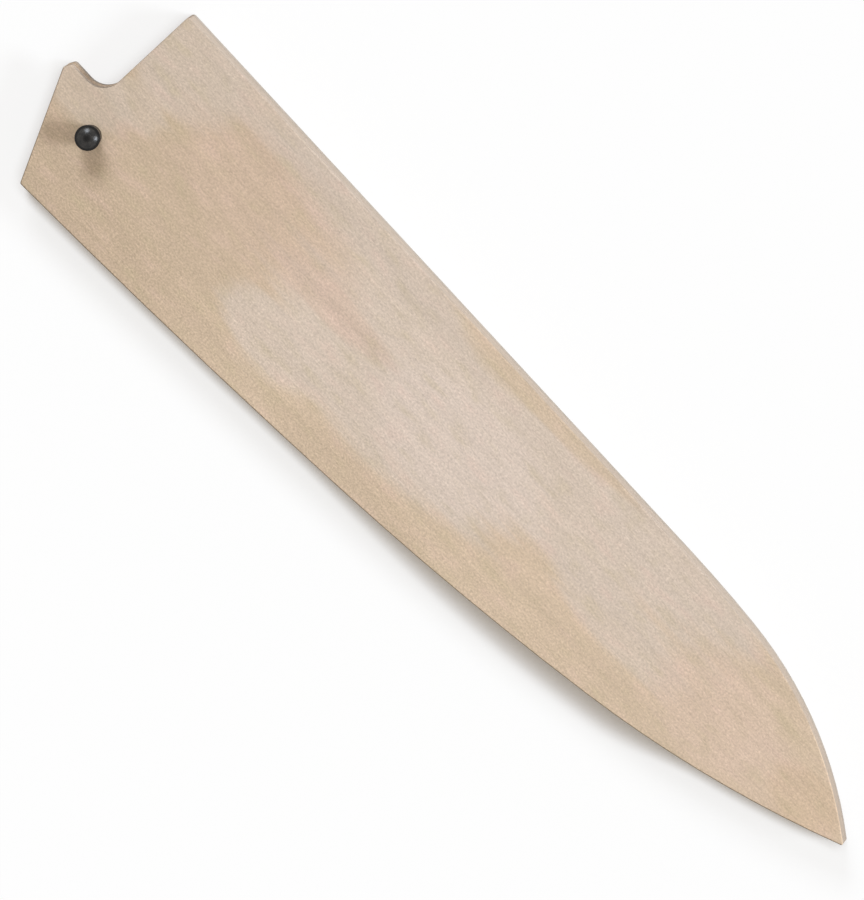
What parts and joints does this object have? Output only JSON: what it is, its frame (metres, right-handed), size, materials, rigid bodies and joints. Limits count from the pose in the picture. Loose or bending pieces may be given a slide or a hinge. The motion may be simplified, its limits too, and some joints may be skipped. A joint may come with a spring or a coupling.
{
  "type": "knife blade guard",
  "caption": "Flat wooden sheath for a long kitchen knife blade, open at the notched mouth, closed at the tip, with a round pull-out pin that locks the blade in.",
  "frame": {"origin": "centre of the guard's footprint, on its back face", "axes": "+X from the mouth to the tip, +Y towards the spine side, +Z out of the front face, along the pin"},
  "size_m": [0.2678, 0.0582, 0.0219],
  "materials": {
    "board_wood": "bare, sanded, pale",
    "strip_wood": "bare, sanded, pale",
    "pin_black": "black, polished"
  },
  "bodies": {
    "guard": {"front_board": "board_wood", "back_board": "board_wood", "spine_strip": "strip_wood", "edge_strip": "strip_wood"},
    "pin": {"locking_pin": "pin_black"}
  },
  "joints": [
    {"name": "pin_pull", "type": "slide", "parent": "guard", "child": "pin", "axis": [0, 0, 1], "range_m": [0, 0.014]}
  ]
}
